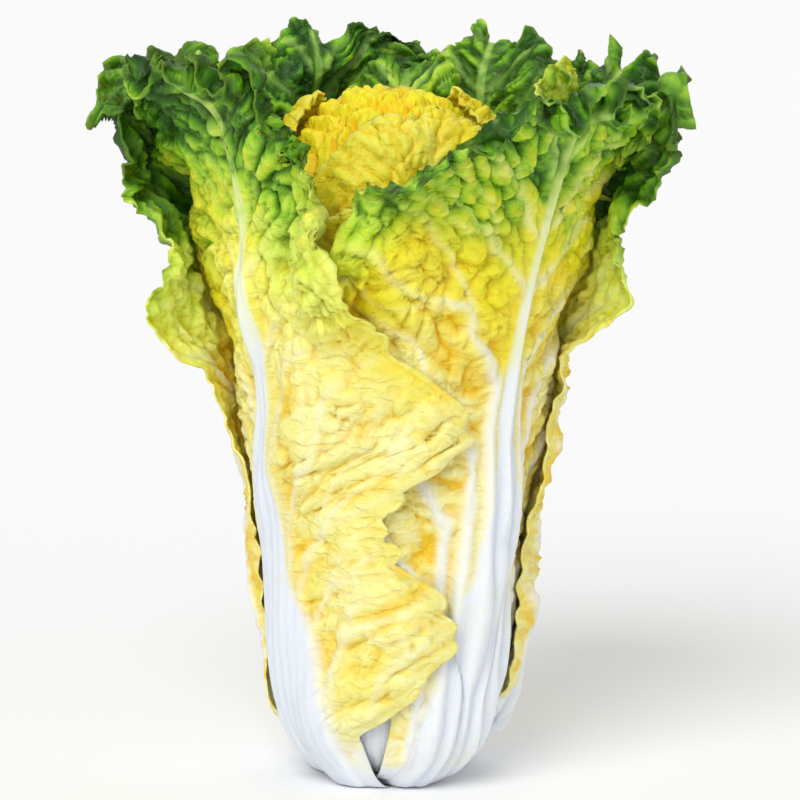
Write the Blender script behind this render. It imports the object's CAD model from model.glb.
# The finish of a whole napa cabbage that stands on its trimmed base: every leaf as a fine crinkled blade.
# Shapes are worked out in millimetres in the frame of the solids, and handed to Blender in metres.
import math

import bpy
import numpy as np
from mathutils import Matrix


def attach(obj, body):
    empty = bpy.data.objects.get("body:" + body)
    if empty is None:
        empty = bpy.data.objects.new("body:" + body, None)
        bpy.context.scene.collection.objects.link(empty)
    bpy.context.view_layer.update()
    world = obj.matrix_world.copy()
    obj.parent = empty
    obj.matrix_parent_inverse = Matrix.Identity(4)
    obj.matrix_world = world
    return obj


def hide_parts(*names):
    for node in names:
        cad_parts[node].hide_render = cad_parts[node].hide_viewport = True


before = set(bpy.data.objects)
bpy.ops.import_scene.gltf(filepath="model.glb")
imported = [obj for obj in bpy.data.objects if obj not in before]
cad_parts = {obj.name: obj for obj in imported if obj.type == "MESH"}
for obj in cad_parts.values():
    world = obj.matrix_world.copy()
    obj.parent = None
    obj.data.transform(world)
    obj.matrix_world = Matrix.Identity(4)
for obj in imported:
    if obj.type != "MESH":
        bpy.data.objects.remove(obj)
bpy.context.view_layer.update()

# Driving dimensions in millimetres, as in the solids. Only the blade and the gap are finer here.
HEART_PROFILE = [
    (17, 31.2), (22, 36), (27.5, 46), (31, 64), (32.5, 90), (34, 120),
    (35.5, 150), (37, 175), (38.5, 195), (40.5, 211), (41.5, 223), (41.5, 233),
    (40, 242), (37, 250), (32.5, 257.5), (26.5, 264), (19, 269), (10, 272), (0.5, 274),
]
BLADE = 0.8
GAP = 0.3
FLOOR_CLEARANCE = 0.6
LOW_CENTRE = 62  # below this height the layers bend in round it
HIGH_CENTRE = 212  # and above this one
BEND = 60
FOOT_START = 22.6  # radius where a leaf would leave the stump at height 0
FOOT_TAPER = 0.11
FOOT_REACH = (0, 0.32, 0.62, 0.85, 0.96)
FOOT_CLIMB = (0, 0.07, 0.32, 0.72, 1.36)
VEIN_SLANT = 0.15
VEIN_BEND = 0.62
COLUMNS_PER_LOBE = 5
ROWS_PER_LOBE = 4.4
SCALLOP = 4
FOLD_SIZE = 26
ROW_SHARE = ((0, 0.2, 0.5, 1), (0, 0.13, 0.46, 1))

# Fine surface
SPINE_STEPS = 60
PATH_STEPS = 240
RIM_COLUMNS = 1.15  # columns stand closer near the midrib by this power
SIDE_CURL = 0.8  # share of the curl at the side rims
VEIN_LEAVES = 85  # height on a leaf where side vein 0 leaves the rib
VEIN_OFFSET = 26  # its distance from the midrib up to there
VEIN_APART = 27  # each next vein leaves this much higher
VEIN_CLOSER = 6.5  # and runs this much nearer to the midrib
VEIN_RISE = 4.7  # past there a vein climbs this times its distance to the power below
VEIN_POWER = 0.6
VEIN_HALF_WIDTH = (2.7, 1.3)  # near the rib and far out
VEIN_FORKS = ((-1, 0, 1), (12, 0.42, 0.75), (24, -0.35, 0.6))  # start, spread and share of each branch
MIDRIB_FROM = 0.3  # from this share of its length a leaf's rib is one vein
LOW_CELL = (20, 8.5)  # across and up one blister of the blade near the base
HIGH_CELL = (13, 11)  # and near the tip
RUFFLE = (17, 4, 0.5)  # length and height of the rim's small waves, and their share low down
FRILL = (8, 1.8, 0.1)  # and of its smallest
TOP_LOBE = 15  # length of a lobe of the upper rim
TOP_LOBE_DEPTH = 3
SIDE_LOBE = 13
SIDE_LOBE_DEPTH = 4  # on the lower half of a leaf, where it gives none of its own
HIGH_LOBE_DEPTH = 2.2
LOBE_SWAY = 0.7
LOBE_SWAY_SIZE = 20
RIM_REACH = 62  # half the upper rim's length
HUG_DEPTH = 24  # how far in from a side rim a blade is drawn to the head
CELL_JITTER = 0.48  # how far the middle of a large blister may stray, in cells
SMOOTH_REACH = 5  # points each way that move out together with one that is too deep
FINE_REACH = 2  # and once the blade has its relief
RIB_BLUR = 14  # rounds of smoothing under a rib
FACE_BLUR = 2  # and under the outer face
HEART_ROUND = 38  # mean radius of the heart, for its cells


# Maths
def mix(a, b, k):
    return a + (b - a) * k


def smooth(x):
    k = np.clip(x, 0, 1)
    return k * k * (3 - 2 * k)


def track(knots):
    """A smooth value of x through knots, flat past both ends."""
    xs, values = np.array(knots, float).T

    def at(x):
        x = np.clip(x, xs[0], xs[-1])
        i = np.clip(np.searchsorted(xs, x) - 1, 0, max(len(xs) - 2, 0))
        j = np.minimum(i + 1, len(xs) - 1)
        span = np.where(xs[j] > xs[i], xs[j] - xs[i], 1)
        return mix(values[i], values[j], smooth((x - xs[i]) / span))

    return at


def lattice(ix, iy, seed):
    """A seeded value from -1 to 1 at each whole point."""
    h = (ix.astype(np.int64) * 374761393 + iy.astype(np.int64) * 668265263 + seed * 974711) & 0xFFFFFFFF
    h = ((h ^ (h >> 13)) * 1274126177) & 0xFFFFFFFF
    return (h ^ (h >> 16)) / 2147483648 - 1


def noise(x, y, seed):
    x, y = np.broadcast_arrays(np.asarray(x, float), np.asarray(y, float))
    ix = np.floor(x)
    iy = np.floor(y)
    kx = smooth(x - ix)
    ky = smooth(y - iy)
    low = mix(lattice(ix, iy, seed), lattice(ix + 1, iy, seed), kx)
    high = mix(lattice(ix, iy + 1, seed), lattice(ix + 1, iy + 1, seed), kx)
    return mix(low, high, ky)


def cells(x, y, seed, jitter=0.38):
    """How far each point is from the border of its cell, in cells: 0 on the border."""
    ix = np.floor(x)
    iy = np.floor(y)
    nearest = np.full(x.shape, 9.0)
    second = np.full(x.shape, 9.0)
    for dx in (-1, 0, 1):
        for dy in (-1, 0, 1):
            px = ix + dx + 0.5 + jitter * lattice(ix + dx, iy + dy, seed)
            py = iy + dy + 0.5 + jitter * lattice(ix + dx, iy + dy, seed + 77)
            d = np.hypot(x - px, y - py)
            second = np.minimum(second, np.maximum(nearest, d))
            nearest = np.minimum(nearest, d)
    return second - nearest


# Layers. The outside of all that has been laid so far is kept as the largest distance from the head's middle
# line in each cell of azimuth and layer height, as in the solids but in narrower cells.
AZIMUTH_CELLS = 300
HEIGHT_CELL = 1.5
LOWEST = LOW_CENTRE - BEND * 1.6
HEIGHT_CELLS = 260
laid = np.zeros((AZIMUTH_CELLS, HEIGHT_CELLS))


def layer_of(p):
    across = np.hypot(p[..., 0], p[..., 1])
    centre = np.clip(p[..., 2], LOW_CENTRE, HIGH_CENTRE)
    rise = p[..., 2] - centre
    height = centre + np.arctan2(rise, across) * BEND
    distance = np.hypot(across, rise)
    azimuth = np.arctan2(p[..., 0], -p[..., 1])
    out = np.stack([p[..., 0], p[..., 1], rise], -1) / np.maximum(distance, 1e-6)[..., None]
    column = np.floor((azimuth / (2 * math.pi) + 0.5) * AZIMUTH_CELLS).astype(int) % AZIMUTH_CELLS
    row = np.clip(np.floor((height - LOWEST) / HEIGHT_CELL).astype(int), 1, HEIGHT_CELLS - 2)
    return column, row, distance, out


def refined(points):
    """The grid with a point added between every two neighbours."""
    rows = np.empty((2 * points.shape[0] - 1, points.shape[1], 3))
    rows[::2] = points
    rows[1::2] = (points[1:] + points[:-1]) / 2
    both = np.empty((rows.shape[0], 2 * points.shape[1] - 1, 3))
    both[:, ::2] = rows
    both[:, 1::2] = (rows[:, 1:] + rows[:, :-1]) / 2
    return both


def lay(points):
    column, row, distance, _ = layer_of(refined(points))
    np.maximum.at(laid, (column, row), distance)


def grown():
    """What is laid, spread by one cell each way so that nothing slips between samples."""
    wide = laid.copy()
    for shift in (-1, 1):
        wide = np.maximum(wide, np.roll(laid, shift, 0))
    tall = wide.copy()
    tall[:, 1:] = np.maximum(tall[:, 1:], wide[:, :-1])
    tall[:, :-1] = np.maximum(tall[:, :-1], wide[:, 1:])
    return tall


def blurred(a, times):
    for _ in range(times):
        b = np.pad(a, 1, mode="edge")
        a = (b[:-2, 1:-1] + b[2:, 1:-1] + b[1:-1, :-2] + b[1:-1, 2:] + 2 * a) / 6
    return a


def cover(short, reach):
    """A smooth field that is nowhere under short: its highest value nearby, then the mean of those nearby."""
    for take in (np.max, np.mean):
        for axis in (0, 1):
            edges = [(0, 0), (0, 0)]
            edges[axis] = (reach, reach)
            wide = np.pad(short, edges, mode="edge")
            short = take(np.lib.stride_tricks.sliding_window_view(wide, 2 * reach + 1, axis), -1)
    return short


def domed(distance):
    """From 0 in a sharp crease up to 1 on a round top, by a distance in cells."""
    return np.sin(np.clip(distance / 0.85, 0, 1) ** 0.8 * math.pi / 2)


def normals_of(p):
    up = np.gradient(p, axis=0)
    side = np.gradient(p, axis=1)
    n = np.cross(side, up)
    return n / np.maximum(np.linalg.norm(n, axis=-1, keepdims=True), 1e-9)


# Spines and blades, worked out as in the solids
def foot(height, barrel):
    start = FOOT_START - FOOT_TAPER * height
    reach = barrel - start
    return [(start + reach * r, height + reach * c) for r, c in zip(FOOT_REACH, FOOT_CLIMB)]


def spine_of(knots):
    """A smooth curve through the knots: its length, start, and radius and direction by share of length."""
    points = np.array(knots, float)
    before = np.vstack([points[:1], points[:-2]])
    here = points[:-1]
    after = points[1:]
    beyond = np.vstack([points[2:], points[-1:]])
    t = np.linspace(0, 1, SPINE_STEPS, endpoint=False)[None, :, None]
    leave = ((after - before) / 2)[:, None]
    arrive = ((beyond - here) / 2)[:, None]
    a, b = here[:, None], after[:, None]
    cubic = 2 * a - 2 * b + leave + arrive
    square = 3 * b - 3 * a - 2 * leave - arrive
    curve = cubic * t**3 + square * t**2 + leave * t + a
    curve = np.vstack([curve.reshape(-1, 2), points[-1:]])
    step = np.diff(curve, axis=0)
    size = np.hypot(*step.T)
    run = np.concatenate([[0], np.cumsum(size)])
    middle = (run[1:] + run[:-1]) / 2 / run[-1]
    angle = np.unwrap(np.arctan2(step[:, 0], step[:, 1]))
    return {
        "length": run[-1],
        "start": points[0],
        "radius": lambda s: np.interp(s, run / run[-1], curve[:, 0]),
        "angle": lambda s: np.interp(s, middle, angle),
    }


RIB_HALF_WIDTH = track([(0, 22), (0.12, 23), (0.35, 14), (0.55, 7), (0.75, 4), (1, 1.5)])
WHITE_HALF_WIDTH = track([
    (0, 30), (0.1, 29), (0.2, 23), (0.32, 11), (0.5, 4.5), (0.75, 2.6), (0.92, 1.6), (1, 0.5),
])
RIB_THICKNESS = track([(0, 6.4), (0.15, 5.6), (0.35, 4.2), (0.55, 2.8), (0.75, 1.6), (1, 0.4)])


def lobes(run, size, row, seed):
    """Round lobes along a rim, from 0 in the notches between them to 1."""
    sway = LOBE_SWAY * noise(run / LOBE_SWAY_SIZE, row, seed)
    return np.abs(np.sin(math.pi * (run / size + sway)))


def paths_of(leaf, spine, across, reach):
    """Radius and height up each column of a leaf, which rolls outwards by its curl near the upper rim."""
    length = spine["length"]
    here = ((np.arange(PATH_STEPS) + 0.5) / PATH_STEPS)[:, None]
    to_rim = (1 - here) * length * reach
    roll = np.radians(leaf["curl"]) * (1 - smooth(to_rim / leaf["curl_depth"]))
    roll = roll * mix(1, SIDE_CURL, across**2)
    angle = spine["angle"](here * reach) + roll
    step = length * reach / PATH_STEPS
    zero = np.zeros((1, len(across)))
    path_r = spine["start"][0] + np.vstack([zero, np.cumsum(np.sin(angle) * step, 0)])
    path_z = spine["start"][1] + np.vstack([zero, np.cumsum(np.cos(angle) * step, 0)])
    return path_r, path_z


def wrapped(leaf, spine, along, u, radius, height):
    """Points of a blade that is wrapped round the head, from how far out, up and across they are."""
    wrap = (1 - track(leaf["open"])(along)) / np.maximum(spine["radius"](along), 8)
    wrap = np.maximum(wrap, 1e-5)
    sideways = np.sin(wrap * u) / wrap
    inward = (1 - np.cos(wrap * u)) / wrap
    azimuth = np.radians(leaf["azimuth"] + leaf["lean"] * smooth(along))
    out = radius - inward
    return np.stack([
        out * np.sin(azimuth) + sideways * np.cos(azimuth),
        -out * np.cos(azimuth) + sideways * np.sin(azimuth),
        height,
    ], -1)


def blade_of(leaf):
    """The smooth inner face of a leaf, and for each of its points where that is on the leaf."""
    spine = spine_of(leaf["spine"])
    left, right = (track(w) for w in leaf["width"])
    seed = leaf["seed"]
    length = spine["length"]

    even = np.linspace(-1, 1, leaf["fine_columns"] + 1)
    across = np.sign(even) * np.abs(even) ** RIM_COLUMNS
    coarse_column = (even + 1) / 2 * leaf["columns"]
    top_phase = 2 * math.pi * coarse_column / COLUMNS_PER_LOBE + seed
    top_lobe = lobes(across * RIM_REACH, TOP_LOBE, 0.5, seed + 31)
    reach = 1 - leaf["droop"] * np.abs(across) ** leaf["shoulder"]
    reach = reach + (SCALLOP * np.cos(top_phase) + TOP_LOBE_DEPTH * (top_lobe - 0.5)) / length
    path_r, path_z = paths_of(leaf, spine, across, reach)

    even_row = (np.linspace(0, 1, leaf["fine_rows"] + 1) ** leaf["rows_up"])[:, None]
    row = np.interp(even_row, *ROW_SHARE)
    side_phase = 2 * math.pi * even_row * leaf["rows"] / ROWS_PER_LOBE + seed + 0 * across
    climb = VEIN_SLANT * np.abs(across) ** VEIN_BEND * 4 * row * (1 - row)
    share = np.clip(row + climb, 0, 1)
    x = share * PATH_STEPS
    k = np.minimum(np.floor(x).astype(int), PATH_STEPS - 1)
    column = np.arange(len(even))[None, :] + 0 * k
    radius = mix(path_r[k, column], path_r[k + 1, column], x - k)
    height = mix(path_z[k, column], path_z[k + 1, column], x - k)

    along = share * reach
    v = along * length
    width = np.where(across < 0, left(along), right(along))
    scallop = SCALLOP * np.sin(side_phase) * smooth(share * 4) * across**2
    side_lobe = lobes(v, SIDE_LOBE, 2.5 + np.sign(across), seed + 32)
    depth = mix(leaf.get("lobe_depth", SIDE_LOBE_DEPTH), HIGH_LOBE_DEPTH, smooth((share - 0.5) / 0.15))
    notched = depth * (side_lobe - 0.5) * smooth((share - 0.1) * 4) * across**4
    u = across * (width + scallop + notched)
    from_top = (1 - share) * length * reach
    from_side = (1 - np.abs(across)) * width
    return {
        "p": wrapped(leaf, spine, along, u, radius, height),
        "u": u,
        "v": v,
        "along": along,
        "from_top": from_top,
        "from_side": from_side,
        "rim": np.minimum(from_top, from_side),
        "top_phase": top_phase + 0 * v,
        "side_phase": side_phase,
    }


def vein_table():
    """Which side vein is at each millimetre up and across a leaf, and how fast that number changes."""
    number = np.linspace(-7, 9, 400)
    start_out = np.maximum(VEIN_OFFSET - number * VEIN_CLOSER, 0)
    start_up = VEIN_LEAVES + number * VEIN_APART
    rows = []
    for v in range(340):
        out = start_out + (np.maximum(v - start_up, 0) / VEIN_RISE) ** (1 / VEIN_POWER)
        rows.append(np.interp(np.arange(120), out[::-1], number[::-1]))
    table = np.array(rows)
    return table, np.maximum(np.hypot(*np.gradient(table)), 0.01)


VEIN_NUMBER, VEIN_CHANGE = vein_table()


def looked_up(table, v, u):
    v = np.clip(v, 0, table.shape[0] - 1.01)
    u = np.clip(u, 0, table.shape[1] - 1.01)
    i = v.astype(int)
    j = u.astype(int)
    low = mix(table[i, j], table[i, j + 1], u - j)
    high = mix(table[i + 1, j], table[i + 1, j + 1], u - j)
    return mix(low, high, v - i)


def veins_of(leaf, g):
    """How much vein is at each point. Side veins run up the rib, bend off into the blade and fork."""
    seed = leaf["seed"]
    au = np.abs(g["u"]) / leaf["spread"]
    sway = 0.3 * noise(g["u"] / 30, g["v"] / 34, seed + 1)
    sway = sway + 0.08 * noise(g["u"] / 9, g["v"] / 11, seed + 2)
    number = looked_up(VEIN_NUMBER, g["v"], au) + sway
    change = looked_up(VEIN_CHANGE, g["v"], au) / leaf["spread"]
    beyond = np.maximum(au - np.maximum(VEIN_OFFSET - number * VEIN_CLOSER, 0), 0)
    half = mix(*VEIN_HALF_WIDTH, smooth(beyond / 40)) * mix(1, 0.7, g["along"]) * leaf["spread"] ** 0.5
    vein = np.zeros_like(number)
    for start, spread, share in VEIN_FORKS:
        branch = number - spread * smooth((beyond - start) / 28)
        d = np.abs(branch - np.round(branch)) / change
        there = share * smooth((beyond - start) / 5) if spread else 1
        vein = np.maximum(vein, there * np.exp(-((d / half) ** 2)))
    high = smooth((g["along"] - MIDRIB_FROM) / 0.1)
    midrib = np.exp(-((au / half) ** 2)) * high
    vein = np.maximum(vein * (1 - smooth(2 - au / half) * high), midrib)
    fade = (1 - 0.5 * smooth(beyond / 80)) * smooth(g["rim"] / 10) * smooth(g["along"] / 0.08)
    return vein * leaf["veined"] * fade


def waves_of(leaf, g, off_rib):
    """The rim's large waves and the blade's soft folds, in millimetres."""
    high = smooth((g["along"] - 0.12) / 0.45)
    top_wave = np.sin(g["top_phase"]) * (1 - smooth(g["from_top"] / leaf["wave_depth"]))
    side_wave = np.sin(g["side_phase"]) * (1 - smooth(g["from_side"] / leaf["wave_depth"]))
    wave = leaf["wave"] * mix(0.3, 1, high) * (top_wave + side_wave)
    up = g["along"] * 290 / FOLD_SIZE
    fold = leaf["fold"] * noise(g["u"] / FOLD_SIZE, up, leaf["seed"] + 7) * off_rib
    return wave + fold * smooth(g["along"] / 0.1)


def ruffles_of(leaf, g):
    """The rim's ruffles and frill, in millimetres."""
    seed = leaf["seed"]
    turn = 0.8 * noise(g["u"] / 24, g["v"] / 24, seed + 5)
    loose = smooth((g["along"] - 0.3) / 0.35)
    small = 0
    for size, height, low in (RUFFLE, FRILL):
        by_top = noise(2.2 * g["u"] / size + turn, g["v"] / size, seed + 14)
        by_side = noise(2.2 * g["v"] / size + turn, g["u"] / size, seed + 15)
        by_top = by_top * (1 - smooth(g["from_top"] / size))
        by_side = by_side * (1 - smooth(g["from_side"] / size))
        small = small + height * mix(low, 1, loose) * (by_top + by_side)
    return small * leaf["ruffle"]


def blisters_of(leaf, g, vein, off_rib):
    """Blisters between the veins in millimetres, and how far up its blister each point is, from 0 to 1."""
    seed = leaf["seed"]
    up = smooth((g["along"] - 0.48) / 0.35)
    climb = g["v"] - mix(0.45, 0.8, up) * np.abs(g["u"])
    sway = 0.9 * noise(g["u"] / 17, g["v"] / 17, seed + 3) + 0.3 * noise(g["u"] / 5, g["v"] / 5, seed + 13)
    a = g["u"] / mix(LOW_CELL[0], HIGH_CELL[0], up) / leaf["cell"] + sway
    b = climb / mix(LOW_CELL[1], HIGH_CELL[1], up) / leaf["cell"]
    b = b + 0.9 * noise(g["u"] / 17, g["v"] / 17, seed + 4)
    big = domed(cells(a, b, seed + 40, CELL_JITTER))
    fine = domed(cells(a * 2.1 + sway, b * 2.1, seed + 41))
    wrinkle = np.abs(noise(g["u"] / 20 + 0.5 * sway, climb / 5 + 0.4 * sway, seed + 6))
    wrinkle = np.minimum(2.4 * wrinkle, 1)
    pillow = mix(0.3, 0.58, up) * big + 0.22 * fine + mix(0.48, 0.2, up) * wrinkle

    size = mix(leaf["blister"][0], leaf["blister"][1], smooth((g["along"] - 0.3) / 0.5))
    size = size * (0.85 + 0.4 * noise(g["u"] / 22, g["v"] / 22, seed + 9))
    at_rim = mix(0.2, 0.85, smooth((g["along"] - 0.5) / 0.25))
    size = size * mix(at_rim, 1, smooth(g["rim"] / 8)) * smooth(g["along"] / 0.1)
    blister = size * (pillow - 0.5) * off_rib * (1 - 0.6 * vein)
    return blister * leaf["bulge"], pillow


def laid_over(leaf, g, rough, fine, shown):
    """The blade set outside all that is laid: first the smooth leaf, then its relief."""
    limit = grown()
    near_side = 1 - smooth(g["from_side"] / HUG_DEPTH)
    hug = leaf["hug"] * near_side * mix(1, leaf["hug_top"], smooth((g["along"] - 0.4) / 0.15))
    p = rough - layer_of(rough)[3] * hug[..., None]
    for _ in range(4):
        column, row, distance, out = layer_of(p)
        short = np.maximum(limit[column, row] + GAP + leaf["slack"] * shown - distance, 0)
        if short.max() < 0.05:
            break
        p = p + out * cover(short, SMOOTH_REACH)[..., None]
    p = p + normals_of(p) * (fine * shown)[..., None]
    for _ in range(3):
        column, row, distance, out = layer_of(p)
        short = np.maximum(limit[column, row] + GAP - distance, 0)
        p = p + out * cover(short, FINE_REACH)[..., None]
    return p


def above_floor(p):
    p[..., 2] = np.maximum(p[..., 2], FLOOR_CLEARANCE)
    return p


def shades_of(leaf, g, vein, pillow, off_rib, rib):
    """What the material mixes its colours by: how white, green, creased, pale and grooved each point is."""
    seed = leaf["seed"]
    white = smooth(2 - 2 * (g["u"] / WHITE_HALF_WIDTH(g["along"]) / leaf["white_spread"]) ** 2)
    white = np.maximum(white, vein * mix(1, 0.6, g["along"]))
    ragged = 0.025 * noise(g["u"] / 5, g["v"] / 5, seed + 21)
    foot_end = smooth((g["along"] + ragged - leaf["white_foot"]) / 0.06)
    white = np.maximum(white, 1 - foot_end) * leaf["white"]

    start, end, most = leaf["green"]
    reached = g["along"] + 0.05 * noise(g["u"] / 20, g["v"] / 20, seed + 18) - 0.03 * vein
    green = mix(0.16, most, smooth((reached - start) / (end - start)))
    at_side = (1 - smooth(g["from_side"] / 30)) * smooth((g["along"] - 0.3) / 0.3)
    green = green + leaf["edge_green"] * at_side
    lobe_shade = mix(0.08, 0.5, smooth((green - 0.45) / 0.3))
    green = green + 0.07 * noise(g["u"] / 18, g["v"] / 18, seed + 8) - lobe_shade * (pillow - 0.55)

    beside_rib = 1 - smooth((np.abs(g["u"]) / leaf["spread"] - RIB_HALF_WIDTH(g["along"])) / 34)
    beside_rib = 0.7 * leaf["veined"] * beside_rib * smooth((g["along"] - 0.12) / 0.15)
    beside_rib = beside_rib * (1 - smooth((g["along"] - 0.5) / 0.25))
    crease = np.clip((0.6 - pillow) / 0.5 + beside_rib, 0, 1)
    return {
        "white": white,
        "green": np.clip(green, 0, 1),
        "crease": crease * off_rib * (1 - vein),
        "pale": pale_patch(leaf, g),
        "groove": (1 - vein) * smooth(rib * 3) * (1 - smooth((g["along"] - 0.45) / 0.3)),
    }


def leaf_surface(leaf):
    """The inner and outer face of a leaf, where each point is on the leaf, and its shades."""
    g = blade_of(leaf)
    vein = veins_of(leaf, g)
    ramp = mix(11, 4, smooth((g["along"] - 0.5) / 0.35))
    off_rib = smooth((np.abs(g["u"]) - 0.6 * leaf["spread"] * RIB_HALF_WIDTH(g["along"])) / ramp)
    blister, pillow = blisters_of(leaf, g, vein, off_rib)
    shown = smooth((g["along"] - leaf["hidden"]) / 0.15)
    rough = g["p"] + normals_of(g["p"]) * waves_of(leaf, g, off_rib)[..., None]
    low = above_floor(laid_over(leaf, g, rough, ruffles_of(leaf, g) + blister, shown))

    rib = np.clip(1 - (g["u"] / RIB_HALF_WIDTH(g["along"])) ** 2, 0, 1)
    low = mix(low, blurred_points(low, RIB_BLUR), (smooth(rib * 2) * shown)[..., None])
    raised = leaf["vein"] * vein * mix(1.3, 1, off_rib) * mix(leaf["rib"], 1, shown)
    thick = BLADE + leaf["rib"] * RIB_THICKNESS(g["along"]) * rib**0.75 + raised
    high = above_floor(low + normals_of(blurred_points(low, FACE_BLUR)) * thick[..., None])
    lay(high)
    lay(low)
    return low, high, g, shades_of(leaf, g, vein, pillow, off_rib, rib)


def pale_patch(leaf, g):
    """How pale the blade is at each point, which is most where one leaf has bleached to lime."""
    u, v, size, most = leaf.get("pale", (0, 0, 1, 0))
    ragged = 1 + 0.5 * noise(g["u"] / 9, g["v"] / 9, leaf["seed"] + 19)
    near = np.exp(-(((g["u"] - u) ** 2 + (g["v"] - v) ** 2) / (size * ragged) ** 2))
    thin_rim = 0.5 * (1 - smooth(g["rim"] / 2.5))
    mottle = 0.3 * noise(g["u"] / 26, g["v"] / 26, leaf["seed"] + 20)
    return np.clip(most * near + mottle + thin_rim, 0, 1)


def blurred_points(p, times):
    return np.stack([blurred(p[..., k], times) for k in range(3)], -1)


# Leaves, from the innermost out. spine is (radius, height) of the inner face at the midrib, width is
# (left, right) by share of the length, open is 0 where the blade wraps the head and 1 where it stands flat.
# pale is (u, v, size, most) of a bleached patch. The two front leaves are a little wider at the foot than in
# the solids.
INNER_WIDTH = [(0, 15), (0.3, 32), (0.6, 44), (0.8, 46), (1, 34)]
FRONT_INNER_WIDTH = [(0, 18), (0.3, 38), (0.7, 52), (1, 38)]
BACK_WIDTH = [(0, 19), (0.3, 44), (0.6, 60), (0.8, 68), (1, 54)]
OUTER_BACK_WIDTH = [(0, 19), (0.3, 46), (0.6, 68), (0.8, 76), (1, 60)]
WRAPPED = [(0, 0)]
FLARED = [(0.7, 0), (1, 0.4)]
FANNED = [(0.55, 0), (0.8, 0.3), (1, 0.6)]
FLAPPED = [(0.4, 0), (0.64, 0.85), (1, 1)]

ANY_LEAF = dict(
    cell=1, spread=1, white_spread=1, veined=1, slack=1, bulge=-1, hug_top=0, edge_green=0,
)
HEART_LEAF = dict(
    ANY_LEAF, slot="heart", hidden=0.55, hug=10, hug_top=1,
    columns=10, rows=11, fine_columns=90, fine_rows=110, rows_up=0.6,
    curl=-40, curl_depth=22, droop=0.16, shoulder=2.2, wave=2.5, wave_depth=16, fold=1.6, ruffle=0.1,
    rib=0.3, vein=0.4, veined=0.1, spread=0.6, cell=0.65, blister=(2, 8), bulge=1,
    green=(0.5, 1, 0.46), white=0.1, white_foot=0,
)
INNER_LEAF = dict(
    ANY_LEAF, slot="inner_leaf", hidden=0.5, hug=0,
    columns=12, rows=13, fine_columns=100, fine_rows=120, rows_up=0.6,
    curl=30, curl_depth=30, droop=0.16, shoulder=2.6, wave=4, wave_depth=24, fold=1.8, ruffle=0.8,
    rib=0.45, vein=1.2, blister=(2, 8),
    green=(0.5, 1, 0.75), edge_green=0.05, white=0.6, white_foot=0,
)
BACK_LEAF = dict(
    ANY_LEAF, slot="outer_leaf", hidden=0.1, hug=3,
    columns=17, rows=17, fine_columns=120, fine_rows=160, rows_up=0.85,
    curl=25, curl_depth=30, droop=0.14, shoulder=2.6, wave=4, wave_depth=26, fold=2, ruffle=0.8,
    rib=0.8, vein=1.5, blister=(4.5, 9),
    green=(0.3, 0.85, 0.93), edge_green=0.05, white=1, white_foot=0.02,
)
OUTER_LEAF = dict(
    ANY_LEAF, slot="outer_leaf", hidden=0, hug=9,
    columns=20, rows=20, fine_columns=136, fine_rows=200, rows_up=1,
    curl=30, curl_depth=32, droop=0.13, shoulder=3, wave=5.5, wave_depth=32, fold=2.2, ruffle=1,
    rib=1, vein=2, blister=(5, 10),
    green=(0.42, 0.84, 0.97), edge_green=0.04, white=1, white_foot=0.05,
)
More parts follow.
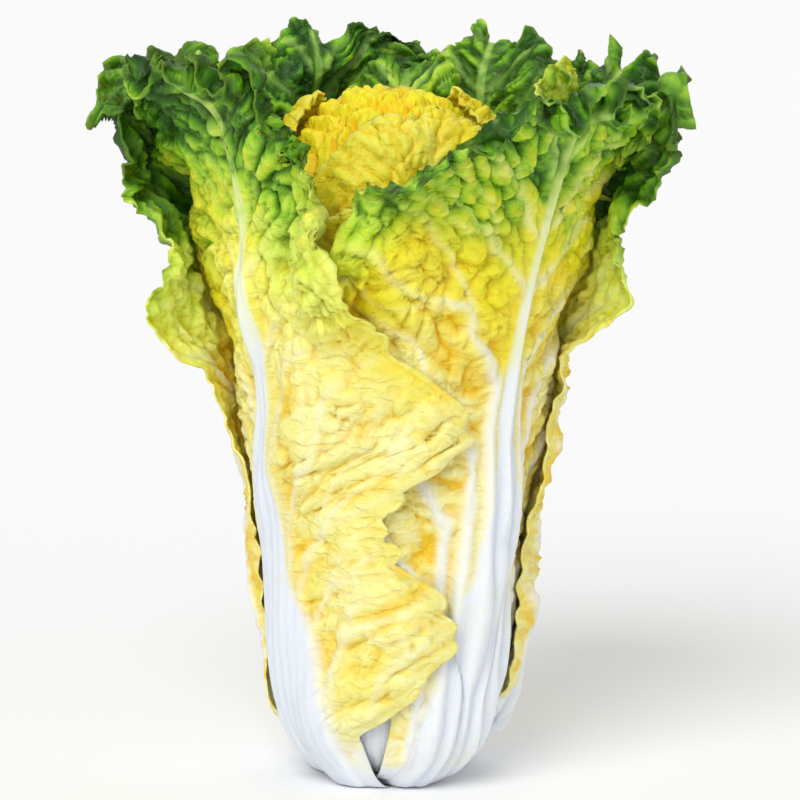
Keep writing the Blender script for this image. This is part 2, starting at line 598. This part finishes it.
LEAVES = [
    dict(
        HEART_LEAF, name="heart_leaf_front", azimuth=14, lean=4, seed=11,
        spine=[
            *foot(28.5, 33), (36, 80), (38.5, 140), (41, 190),
            (44, 222), (45, 239), (42.5, 254), (35, 267),
        ],
        width=(INNER_WIDTH, INNER_WIDTH), open=WRAPPED,
    ),
    dict(
        HEART_LEAF, name="heart_leaf_left", azimuth=-108, lean=0, seed=12,
        spine=[
            *foot(27.5, 33.5), (36.5, 80), (39, 140), (42, 190),
            (44.5, 222), (44.5, 240), (40, 253), (31, 265),
        ],
        width=(INNER_WIDTH, INNER_WIDTH), open=WRAPPED,
    ),
    dict(
        HEART_LEAF, name="heart_leaf_right", azimuth=128, lean=0, seed=13,
        spine=[
            *foot(26.5, 34), (37, 80), (40, 140), (43, 190),
            (46, 222), (47.5, 241), (45.5, 258), (39, 272),
        ],
        width=(INNER_WIDTH, INNER_WIDTH), open=WRAPPED,
    ),
    dict(
        INNER_LEAF, name="inner_leaf_back", azimuth=176, lean=0, seed=14,
        green=(0.45, 0.95, 0.85),
        spine=[
            *foot(24.5, 36.5), (40, 80), (42.5, 140), (46, 190),
            (51, 225), (57, 250), (62, 270), (67, 286),
        ],
        width=(INNER_WIDTH, INNER_WIDTH), open=FLARED,
    ),
    dict(
        INNER_LEAF, name="inner_leaf_right", azimuth=82, lean=-2, seed=15, curl=-15, droop=0.03,
        green=(0.42, 0.92, 0.64), ruffle=0.2, blister=(2, 6),
        spine=[
            *foot(22.5, 37.5), (41, 80), (44, 140), (48, 185),
            (53, 215), (59, 240), (65, 262), (70, 281),
        ],
        width=(INNER_WIDTH, INNER_WIDTH), open=FLARED,
    ),
    dict(
        INNER_LEAF, name="inner_leaf_left", azimuth=-82, lean=-3, seed=16, green=(0.5, 1, 0.86),
        spine=[
            *foot(20.5, 38.5), (42, 80), (45, 140), (49, 190),
            (54, 225), (60, 250), (66, 270), (71, 286),
        ],
        width=(INNER_WIDTH, INNER_WIDTH), open=FLARED,
    ),
    dict(
        BACK_LEAF, name="front_leaf_inner", azimuth=-9, lean=4, seed=17, curl=15, rows=14, columns=13,
        fine_rows=120, fine_columns=84, rows_up=1, bulge=1, green=(0.3, 0.9, 0.45), edge_green=0,
        spread=0.4, white_spread=0.27, white_foot=0.04, veined=0.15, hidden=-0.05, cell=0.7,
        slot="inner_leaf",
        spine=[*foot(9, 42), (44.5, 80), (46.5, 120), (49, 160), (51, 200), (53, 222), (55, 236)],
        width=(FRONT_INNER_WIDTH, FRONT_INNER_WIDTH), open=WRAPPED,
    ),
    dict(
        BACK_LEAF, name="back_leaf_right", azimuth=150, lean=2, seed=18,
        spine=[
            *foot(17.5, 40.5), (44, 80), (47, 120), (51, 160),
            (56, 200), (63, 235), (71, 262), (84, 295),
        ],
        width=(BACK_WIDTH, BACK_WIDTH), open=FLARED,
    ),
    dict(
        BACK_LEAF, name="back_leaf_left", azimuth=-160, lean=3, seed=19,
        spine=[
            *foot(13.5, 42), (46, 80), (49, 120), (53, 160),
            (58, 200), (65, 235), (73, 262), (86, 297),
        ],
        width=(BACK_WIDTH, BACK_WIDTH), open=FLARED,
    ),
    dict(
        OUTER_LEAF, name="front_leaf_right", azimuth=40, lean=14, seed=20, curl=70, curl_depth=36, droop=0.08,
        bulge=1, green=(0.52, 0.98, 0.88), edge_green=0, slot="front_leaf",
        spine=[
            *foot(8, 46), (49, 75), (51.5, 110), (55, 145), (60, 178),
            (66, 206), (73, 232), (82, 258), (93, 286),
        ],
        width=(
            [(0, 26), (0.12, 34), (0.22, 38), (0.34, 56), (0.6, 84), (0.8, 88), (1, 66)],
            [(0, 19), (0.3, 38), (0.6, 54), (0.8, 58), (1, 46)],
        ),
        open=FANNED,
    ),
    dict(
        OUTER_LEAF, name="front_leaf_left", azimuth=-60, lean=9, seed=21, curl=50, curl_depth=30,
        ruffle=0.6, lobe_depth=4.5, droop=0.08, shoulder=4, bulge=1, green=(0.48, 0.95, 0.93), edge_green=0,
        spread=0.55, veined=0.4, pale=(24, 204, 36, 1), slot="front_leaf",
        spine=[
            *foot(8, 46), (49.5, 75), (53, 110), (57, 145), (62, 180),
            (68, 212), (75, 242), (84, 269), (95, 292),
        ],
        width=(
            [(0, 19), (0.3, 38), (0.6, 58), (0.8, 66), (1, 60)],
            [
                (0, 26), (0.1, 34), (0.17, 52), (0.22, 67), (0.27, 69), (0.33, 58), (0.38, 51), (0.43, 56),
                (0.49, 80), (0.53, 81), (0.6, 61), (0.7, 46), (0.82, 40), (1, 44),
            ],
        ),
        open=[(0.5, 0), (0.78, 0.4), (1, 0.75)],
    ),
    dict(
        OUTER_LEAF, name="outer_leaf_right", azimuth=118, lean=-4, seed=22,
        droop=0.06, hug=16, slack=0.3, pale=(-50, 192, 36, 1.35), green=(0.5, 0.88, 0.97),
        spine=[
            *foot(7.6, 48), (51.5, 75), (55.5, 110), (59, 132), (65, 156),
            (70, 180), (76, 208), (82, 235), (89, 261), (97, 287),
        ],
        width=(
            [
                (0, 19), (0.14, 34), (0.28, 48), (0.42, 37), (0.54, 38), (0.62, 48),
                (0.68, 54), (0.76, 54), (0.83, 56), (0.91, 70), (1, 68),
            ],
            OUTER_BACK_WIDTH,
        ),
        open=[(0.4, 0), (0.72, 0.85), (1, 1)],
    ),
    dict(
        OUTER_LEAF, name="outer_leaf_left", azimuth=-122, lean=4, seed=23,
        curl=35, droop=0.07, hug=16, slack=0.3, pale=(58, 196, 42, 1.5),
        spine=[
            *foot(7.6, 50), (54, 75), (57.5, 110), (60.5, 132), (65.5, 156),
            (70, 180), (76, 208), (82, 235), (89, 261), (97, 288),
        ],
        width=(
            OUTER_BACK_WIDTH,
            [
                (0, 19), (0.14, 31), (0.28, 40), (0.42, 38), (0.55, 43), (0.61, 56),
                (0.68, 66), (0.76, 60), (0.84, 58), (0.92, 66), (1, 66),
            ],
        ),
        open=FLAPPED,
    ),
]


# Meshes
def add_mesh(name, points, quads, shades, leaf_place, material):
    """A smooth mesh in metres from points in millimetres, with shades and leaf places for its material."""
    mesh = bpy.data.meshes.new(name)
    mesh.vertices.add(len(points))
    mesh.vertices.foreach_set("co", (points / 1000).astype(np.float32).ravel())
    mesh.loops.add(4 * len(quads))
    mesh.loops.foreach_set("vertex_index", quads.astype(np.int32).ravel())
    mesh.polygons.add(len(quads))
    mesh.polygons.foreach_set("loop_start", (4 * np.arange(len(quads))).astype(np.int32))
    mesh.update(calc_edges=True)
    mesh.polygons.foreach_set("use_smooth", np.ones(len(quads), bool))
    for key, values in shades.items():
        attribute = mesh.attributes.new(key, "FLOAT", "POINT")
        attribute.data.foreach_set("value", values.astype(np.float32).ravel())
    layer = mesh.uv_layers.new(name="leaf_place")
    layer.data.foreach_set("uv", (leaf_place[quads.ravel()] / 10).astype(np.float32).ravel())
    mesh.materials.append(material)
    mesh.validate()
    piece = bpy.data.objects.new(name, mesh)
    bpy.context.collection.objects.link(piece)
    return piece


def grid_quads(rows, columns):
    corner = (np.arange(rows)[:, None] * (columns + 1) + np.arange(columns)[None, :]).ravel()
    return np.stack([corner, corner + 1, corner + columns + 2, corner + columns + 1], -1)


def add_leaf(leaf, material):
    low, high, g, shades = leaf_surface(leaf)
    rows, columns = low.shape[0] - 1, low.shape[1] - 1
    count = low.shape[0] * low.shape[1]
    faces = grid_quads(rows, columns)
    rim = np.concatenate([
        np.arange(columns),
        np.arange(rows) * (columns + 1) + columns,
        rows * (columns + 1) + np.arange(columns, 0, -1),
        np.arange(rows, 0, -1) * (columns + 1),
    ])
    ahead = np.roll(rim, -1)
    strip = np.stack([rim, ahead, ahead + count, rim + count], -1)
    quads = np.vstack([faces[:, ::-1], faces + count, strip])
    points = np.vstack([low.reshape(-1, 3), high.reshape(-1, 3)])
    both = {key: np.tile(values.ravel(), 2) for key, values in shades.items()}
    place = np.tile(np.stack([g["u"].ravel(), g["v"].ravel()], -1), (2, 1))
    piece = add_mesh(leaf["name"] + "_blade", points, quads, both, place, material)
    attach(piece, "root")
    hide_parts(leaf["name"])


# Materials
def linear(red, green, blue):
    """A colour given as a screen shows it, 0 to 255."""
    def one(c):
        c /= 255
        return c / 12.92 if c <= 0.04045 else ((c + 0.055) / 1.055) ** 2.4
    return (one(red), one(green), one(blue), 1)


def grey(value):
    return (value, value, value, 1)


class Nodes:
    """A short way to add and link a material's nodes."""

    def __init__(self, name):
        self.material = bpy.data.materials.new(name)
        self.material.use_nodes = True
        self.tree = self.material.node_tree
        self.shader = self.tree.nodes["Principled BSDF"]

    def add(self, kind, inputs=None, **settings):
        node = self.tree.nodes.new(kind)
        for key, value in settings.items():
            setattr(node, key, value)
        for key, value in (inputs or {}).items():
            if isinstance(value, bpy.types.NodeSocket):
                self.tree.links.new(value, node.inputs[key])
            else:
                node.inputs[key].default_value = value
        return node

    def math(self, operation, a, b=0.0):
        return self.add("ShaderNodeMath", {0: a, 1: b}, operation=operation).outputs[0]

    def vector(self, operation, *values):
        return self.add("ShaderNodeVectorMath", dict(enumerate(values)), operation=operation).outputs[0]

    def noise(self, place, **inputs):
        inputs = {key.capitalize(): value for key, value in inputs.items()}
        return self.add("ShaderNodeTexNoise", {"Vector": place, **inputs})

    def ramp(self, factor, stops):
        node = self.add("ShaderNodeValToRGB", {"Fac": factor})
        elements = node.color_ramp.elements
        while len(elements) < len(stops):
            elements.new(0.5)
        for element, (position, colour) in zip(elements, stops):
            element.position = position
            element.color = colour
        return node.outputs["Color"]

    def mix(self, factor, a, b, blend="MIX"):
        inputs = {0: factor, 6: a, 7: b}
        return self.add("ShaderNodeMix", inputs, data_type="RGBA", blend_type=blend).outputs[2]

    def attribute(self, name):
        return self.add("ShaderNodeAttribute", attribute_name=name).outputs["Fac"]

    def bump(self, height, distance, strength, below=None):
        inputs = {"Height": height, "Distance": distance, "Strength": strength}
        if below is not None:
            inputs["Normal"] = below
        return self.add("ShaderNodeBump", inputs).outputs["Normal"]

    def link(self, output, name):
        self.tree.links.new(output, self.shader.inputs[name])

    def set(self, name, value):
        self.shader.inputs[name].default_value = value


BLADE_COLOURS = [
    (0.0, linear(250, 247, 198)),
    (0.16, linear(244, 236, 138)),
    (0.32, linear(245, 229, 64)),
    (0.46, linear(250, 237, 38)),
    (0.58, linear(212, 226, 48)),
    (0.7, linear(164, 214, 46)),
    (0.8, linear(98, 164, 18)),
    (0.9, linear(47, 107, 7)),
    (1.0, linear(26, 74, 4)),
]
PALE_COLOURS = [
    (0.2, linear(246, 246, 176)),
    (0.45, linear(236, 250, 134)),
    (0.7, linear(212, 240, 104)),
    (0.9, linear(120, 176, 44)),
]
VEIN_COLOURS = [
    (0.17, linear(234, 238, 243)),
    (0.3, linear(234, 238, 214)),
    (0.5, linear(230, 238, 176)),
    (0.7, linear(202, 224, 122)),
    (1.0, linear(122, 170, 62)),
]
CREASE_COLOUR = linear(255, 218, 66)
SMALL_CREASE_COLOUR = linear(240, 222, 120)
FOLD_COLOUR = linear(255, 225, 84)
GROOVE_COLOUR = linear(226, 231, 241)
STEM_COLOURS = [(0.3, linear(238, 230, 200)), (0.6, linear(249, 246, 228))]
STEM_DOT_COLOUR = linear(214, 206, 160)

# Heights of the patterns that are too fine for the meshes, in metres
FIBRE_HEIGHT = 0.0003
GRAIN_HEIGHT = 0.0002
WRINKLE_HEIGHT = 0.0006
NET_HEIGHT = 0.0006
DOT_HEIGHT = 0.0004


def leaf_material():
    """Leaf tissue, from white ribs over yellow to lime and dark green, by the shades of each point."""
    m = Nodes("leaf_tissue")
    green = m.attribute("green")
    white = m.attribute("white")

    # Patterns over the leaf laid flat, in centimetres
    flat = m.add("ShaderNodeUVMap", uv_map="leaf_place").outputs["UV"]
    sway = m.noise(flat, scale=1.3, detail=2.0).outputs["Color"]
    place = m.vector("MULTIPLY_ADD", sway, (0.7, 0.7, 0), flat)
    net = m.add("ShaderNodeTexVoronoi", {"Vector": place, "Scale": 2.4}, feature="DISTANCE_TO_EDGE")
    net = net.outputs["Distance"]
    speckle = m.noise(flat, scale=3.5, detail=5.0).outputs["Fac"]
    grain = m.noise(flat, scale=16.0, detail=4.0).outputs["Fac"]
    fibre = m.noise(m.vector("MULTIPLY", flat, (9, 0.5, 1)), detail=3.0).outputs["Fac"]
    across = m.vector("MULTIPLY", place, (0.9, 2.6, 1))
    wrinkle = m.noise(across, scale=1.2, detail=3.0, distortion=0.6).outputs["Fac"]
    wrinkle = m.ramp(wrinkle, [(0.36, grey(0)), (0.5, grey(0.75)), (0.7, grey(1))])

    patch = m.math("MULTIPLY", m.math("SUBTRACT", speckle, 0.5), 0.16)
    colour = m.ramp(m.math("ADD", green, patch), BLADE_COLOURS)
    pale = m.math("MULTIPLY", m.attribute("pale"), 0.95)
    colour = m.mix(pale, colour, m.ramp(green, PALE_COLOURS))
    colour = m.mix(m.attribute("crease"), colour, CREASE_COLOUR, "MULTIPLY")
    small_crease = m.math("MULTIPLY", m.ramp(net, [(0.0, grey(1)), (0.12, grey(0))]), 0.15)
    colour = m.mix(small_crease, colour, SMALL_CREASE_COLOUR, "MULTIPLY")
    fold = m.math("MULTIPLY", m.math("SUBTRACT", 1.0, wrinkle), 0.4)
    colour = m.mix(fold, colour, FOLD_COLOUR, "MULTIPLY")
    colour = m.mix(white, colour, m.ramp(green, VEIN_COLOURS))
    groove = m.math("MULTIPLY", m.attribute("groove"), 0.6)
    colour = m.mix(groove, colour, GROOVE_COLOUR, "MULTIPLY")
    m.link(colour, "Base Color")

    puckered = m.math("SUBTRACT", 0.8, m.math("MULTIPLY", white, 0.75))
    normal = m.bump(fibre, FIBRE_HEIGHT, white)
    normal = m.bump(grain, GRAIN_HEIGHT, 0.3, normal)
    normal = m.bump(wrinkle, WRINKLE_HEIGHT, puckered, normal)
    m.link(m.bump(net, NET_HEIGHT, puckered, normal), "Normal")
    m.set("Roughness", 0.45)
    m.set("Specular IOR Level", 0.3)
    m.set("Subsurface Weight", 0.25)
    m.set("Subsurface Radius", (1.0, 0.9, 0.3))
    m.set("Subsurface Scale", 0.003)
    return m.material


def stump_material():
    """The pale cut stem, with the dots of its vessels."""
    m = Nodes("cut_stem")
    place = m.add("ShaderNodeTexCoord").outputs["Object"]
    spot = m.add("ShaderNodeTexVoronoi", {"Vector": place, "Scale": 260.0}).outputs["Distance"]
    cloud = m.noise(place, scale=60.0, detail=5.0).outputs["Fac"]
    dot = m.ramp(spot, [(0.0, grey(0.5)), (0.35, grey(0))])
    m.link(m.mix(dot, m.ramp(cloud, STEM_COLOURS), STEM_DOT_COLOUR), "Base Color")
    m.link(m.bump(spot, DOT_HEIGHT, 0.4), "Normal")
    m.set("Roughness", 0.6)
    return m.material


# Heart
HEART_SIDES = 280
HEART_ROWS = 130
HEART_CELL = (10, 8.5)
HEART_BLISTER = 8


def add_heart(material):
    profile = np.array(HEART_PROFILE, float)
    run = np.concatenate([[0], np.cumsum(np.hypot(*np.diff(profile, axis=0).T))])
    s = np.linspace(0, 1, HEART_ROWS + 1) ** 0.55 * run[-1]
    radius = np.interp(s, run, profile[:, 0])
    height = np.interp(s, run, profile[:, 1])
    turn = np.linspace(-math.pi, math.pi, HEART_SIDES + 1)[:-1]
    azimuth, r = np.meshgrid(turn, radius)
    z = height[:, None] + 0 * azimuth
    x, y = r * np.sin(azimuth), -r * np.cos(azimuth)

    # Blisters, whose cells go round the heart below and lie flat on its top
    top = smooth((z - 190) / 45)
    cap = smooth((z - 235) / 25)
    a = mix(azimuth * HEART_ROUND, x, cap) / HEART_CELL[0]
    b = mix(z, y + z, cap) / HEART_CELL[1]
    sway = 0.8 * noise(x / 14 + 9, y / 14 + z / 14, 61)
    big = domed(cells(a + sway, b - sway, 62, CELL_JITTER))
    fine = domed(cells(a * 2.2 + sway, b * 2.2, 63))
    pillow = 0.76 * big + 0.24 * fine
    lump = 2.2 * noise(x / 22 + 5, y / 22 + z / 22, 64)
    swell = (HEART_BLISTER * (pillow - 0.5) + lump) * top * smooth((276 - z) / 8)
    p = np.stack([x, y, z], -1)
    centre = np.stack([0 * x, 0 * y, np.minimum(z, 225)], -1)
    out = p - centre
    p = p + out / np.maximum(np.linalg.norm(out, axis=-1, keepdims=True), 1e-6) * swell[..., None]
    lay(np.concatenate([p, p[:, :1]], 1))

    corner = (np.arange(HEART_ROWS)[:, None] * HEART_SIDES + np.arange(HEART_SIDES)[None, :]).ravel()
    beside = corner - corner % HEART_SIDES + (corner + 1) % HEART_SIDES
    quads = np.stack([corner, beside, beside + HEART_SIDES, corner + HEART_SIDES], -1)
    green = mix(0.3, 0.44, top) + 0.06 * noise(x / 12, y / 12 + z / 12, 65) + 0.08 * (pillow - 0.5)
    shades = {
        "white": 0 * x,
        "pale": 0 * x,
        "groove": 0 * x,
        "green": np.clip(green, 0, 1),
        "crease": np.clip((0.62 - pillow) / 0.5, 0, 1) * top,
    }
    place = np.stack([(azimuth * HEART_ROUND).ravel(), z.ravel()], -1)
    piece = add_mesh("heart_crinkled", p.reshape(-1, 3), quads, shades, place, material)
    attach(piece, "root")
    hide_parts("heart")


# Scene
FRAME_HEIGHT = 0.3176  # of what the picture shows at the cabbage's distance
CAMERA_DISTANCE = 1.6
CAMERA_ELEVATION = 8
CAMERA_TARGET = (0.0026, 0, 0.150)
SENSOR = 36
FLOOR_SIZE = 80
LAMP_TARGET = (0, 0, 0.16)
LAMPS = [  # name, place, strength, and how much of the sky it fills in degrees
    ("key", (-0.4, -1.0, 1.15), 1.62, 36),
    ("front", (0.3, -1.2, 0.3), 0.38, 70),
    ("back", (0.4, 1.2, 0.9), 0.5, 60),
]
SKY = (("From Min", 0.1), ("From Max", 0.45), ("To Min", 0.98), ("To Max", 0.48))


def aim(thing, place, target):
    """Puts a lamp or camera at a place, looking at a target."""
    away = np.array(place, float) - np.array(target, float)
    thing.location = place
    thing.rotation_euler = (math.acos(away[2] / np.linalg.norm(away)), 0, math.atan2(away[0], -away[1]))


def add_sun(name, place, strength, angle):
    """A soft lamp that lights all places alike."""
    light = bpy.data.lights.new(name, "SUN")
    light.energy = strength
    light.angle = math.radians(angle)
    lamp = bpy.data.objects.new(name, light)
    bpy.context.collection.objects.link(lamp)
    aim(lamp, place, LAMP_TARGET)


def add_camera():
    data = bpy.data.cameras.new("camera")
    data.sensor_width = SENSOR
    data.sensor_fit = "HORIZONTAL"
    data.lens = SENSOR * CAMERA_DISTANCE / FRAME_HEIGHT
    data.dof.use_dof = False
    camera = bpy.data.objects.new("camera", data)
    bpy.context.collection.objects.link(camera)
    rise = math.radians(CAMERA_ELEVATION)
    x, _, z = CAMERA_TARGET
    place = (x, -CAMERA_DISTANCE * math.cos(rise), z + CAMERA_DISTANCE * math.sin(rise))
    aim(camera, place, CAMERA_TARGET)
    bpy.context.scene.camera = camera


def add_floor():
    bpy.ops.mesh.primitive_plane_add(size=FLOOR_SIZE, location=(0, 0, 0))
    floor = bpy.context.object
    floor.name = "floor"
    m = Nodes("pale_floor")
    m.set("Base Color", grey(0.98))
    m.set("Roughness", 0.9)
    floor.data.materials.append(m.material)


def set_light():
    """A white sky that is brightest low down, and the lamps."""
    world = bpy.data.worlds.new("studio")
    world.use_nodes = True
    tree = world.node_tree
    facing = tree.nodes.new("ShaderNodeTexCoord")
    height = tree.nodes.new("ShaderNodeSeparateXYZ")
    shade = tree.nodes.new("ShaderNodeMapRange")
    tree.links.new(facing.outputs["Generated"], height.inputs[0])
    tree.links.new(height.outputs["Z"], shade.inputs["Value"])
    for key, value in SKY:
        shade.inputs[key].default_value = value
    tree.nodes["Background"].inputs["Color"].default_value = grey(1)
    tree.links.new(shade.outputs["Result"], tree.nodes["Background"].inputs["Strength"])
    bpy.context.scene.world = world
    for lamp in LAMPS:
        add_sun(*lamp)
    bpy.context.scene.view_settings.view_transform = "Standard"


def finish_stump():
    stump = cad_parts["stump"]
    stump.data.materials.clear()
    stump.data.materials.append(stump_material())


add_camera()
set_light()
add_floor()
finish_stump()
tissue = leaf_material()
add_heart(tissue)
for leaf in LEAVES:
    add_leaf(leaf, tissue)
